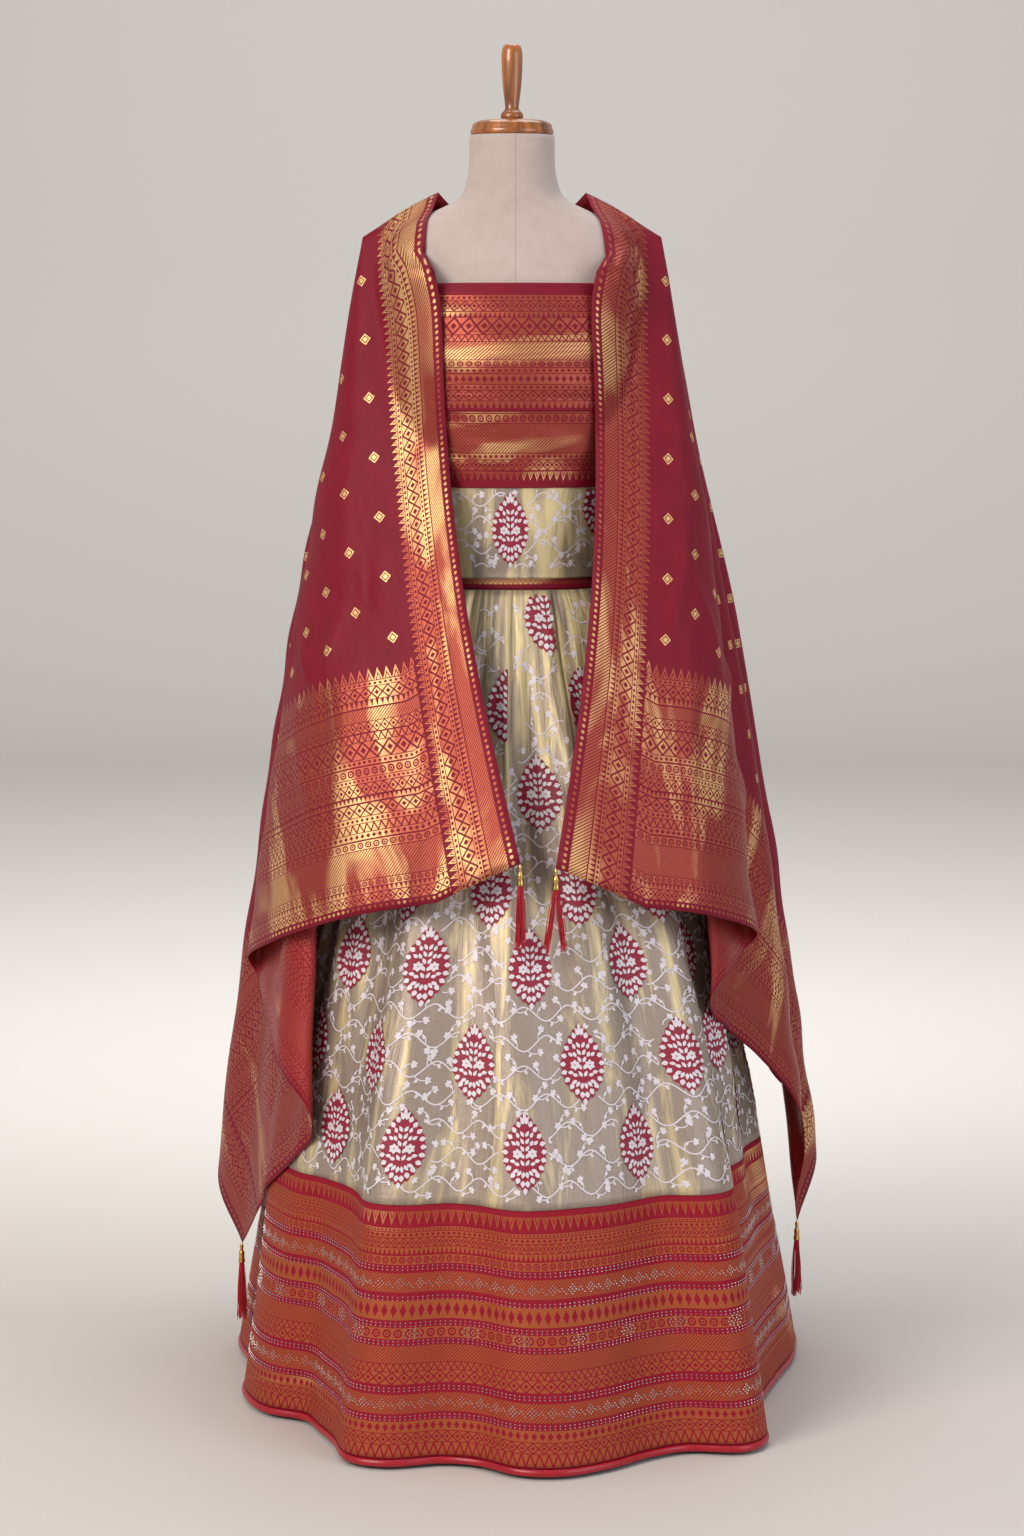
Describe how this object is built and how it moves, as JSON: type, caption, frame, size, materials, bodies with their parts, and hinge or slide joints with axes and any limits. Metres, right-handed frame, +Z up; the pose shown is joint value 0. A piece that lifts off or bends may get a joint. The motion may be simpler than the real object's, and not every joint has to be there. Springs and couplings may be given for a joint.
{
  "type": "lehenga on a limbless dress form",
  "caption": "Floor-length pleated brocade lehenga with wrapped strapless bodice and a dupatta over both shoulders, worn by a limbless dress form on a hidden stand.",
  "frame": {"origin": "on the floor, on the upright axis of the stand, at the centre of its base", "axes": "+Z up, -Y the front of the set, +X to the right in the picture"},
  "size_m": [0.7964, 0.8547, 1.6858],
  "materials": {
    "linen": "matte linen stretched over a hard shell",
    "teak": "glossy varnished teak",
    "steel": "satin",
    "base_paint": "black powder coat",
    "brocade": "crimson silk woven with gold thread",
    "tissue": "gold-shot tissue with a silver vine jaal and crimson medallions",
    "satin": "bright red satin",
    "silk": "crimson-maroon silk with gold buttas and woven gold borders",
    "brass": "polished",
    "thread": "twisted red silk"
  },
  "bodies": {
    "root": {"bodice_lower_tier": "brocade", "bodice_midriff": "tissue", "bodice_upper_tier": "brocade", "cap_handle": "teak", "dupatta": "silk", "form_torso": "linen", "neck_cap": "teak", "skirt_body": "tissue", "skirt_border": "brocade", "skirt_piping": "satin", "skirt_waistband": "brocade", "stand_base": "base_paint", "stand_pole": "steel", "tassel_front_left_cap": "brass", "tassel_front_left_strands": "thread", "tassel_front_right_cap": "brass", "tassel_front_right_strands": "thread", "tassel_side_left_cap": "brass", "tassel_side_left_strands": "thread", "tassel_side_right_cap": "brass", "tassel_side_right_strands": "thread"}
  },
  "joints": []
}
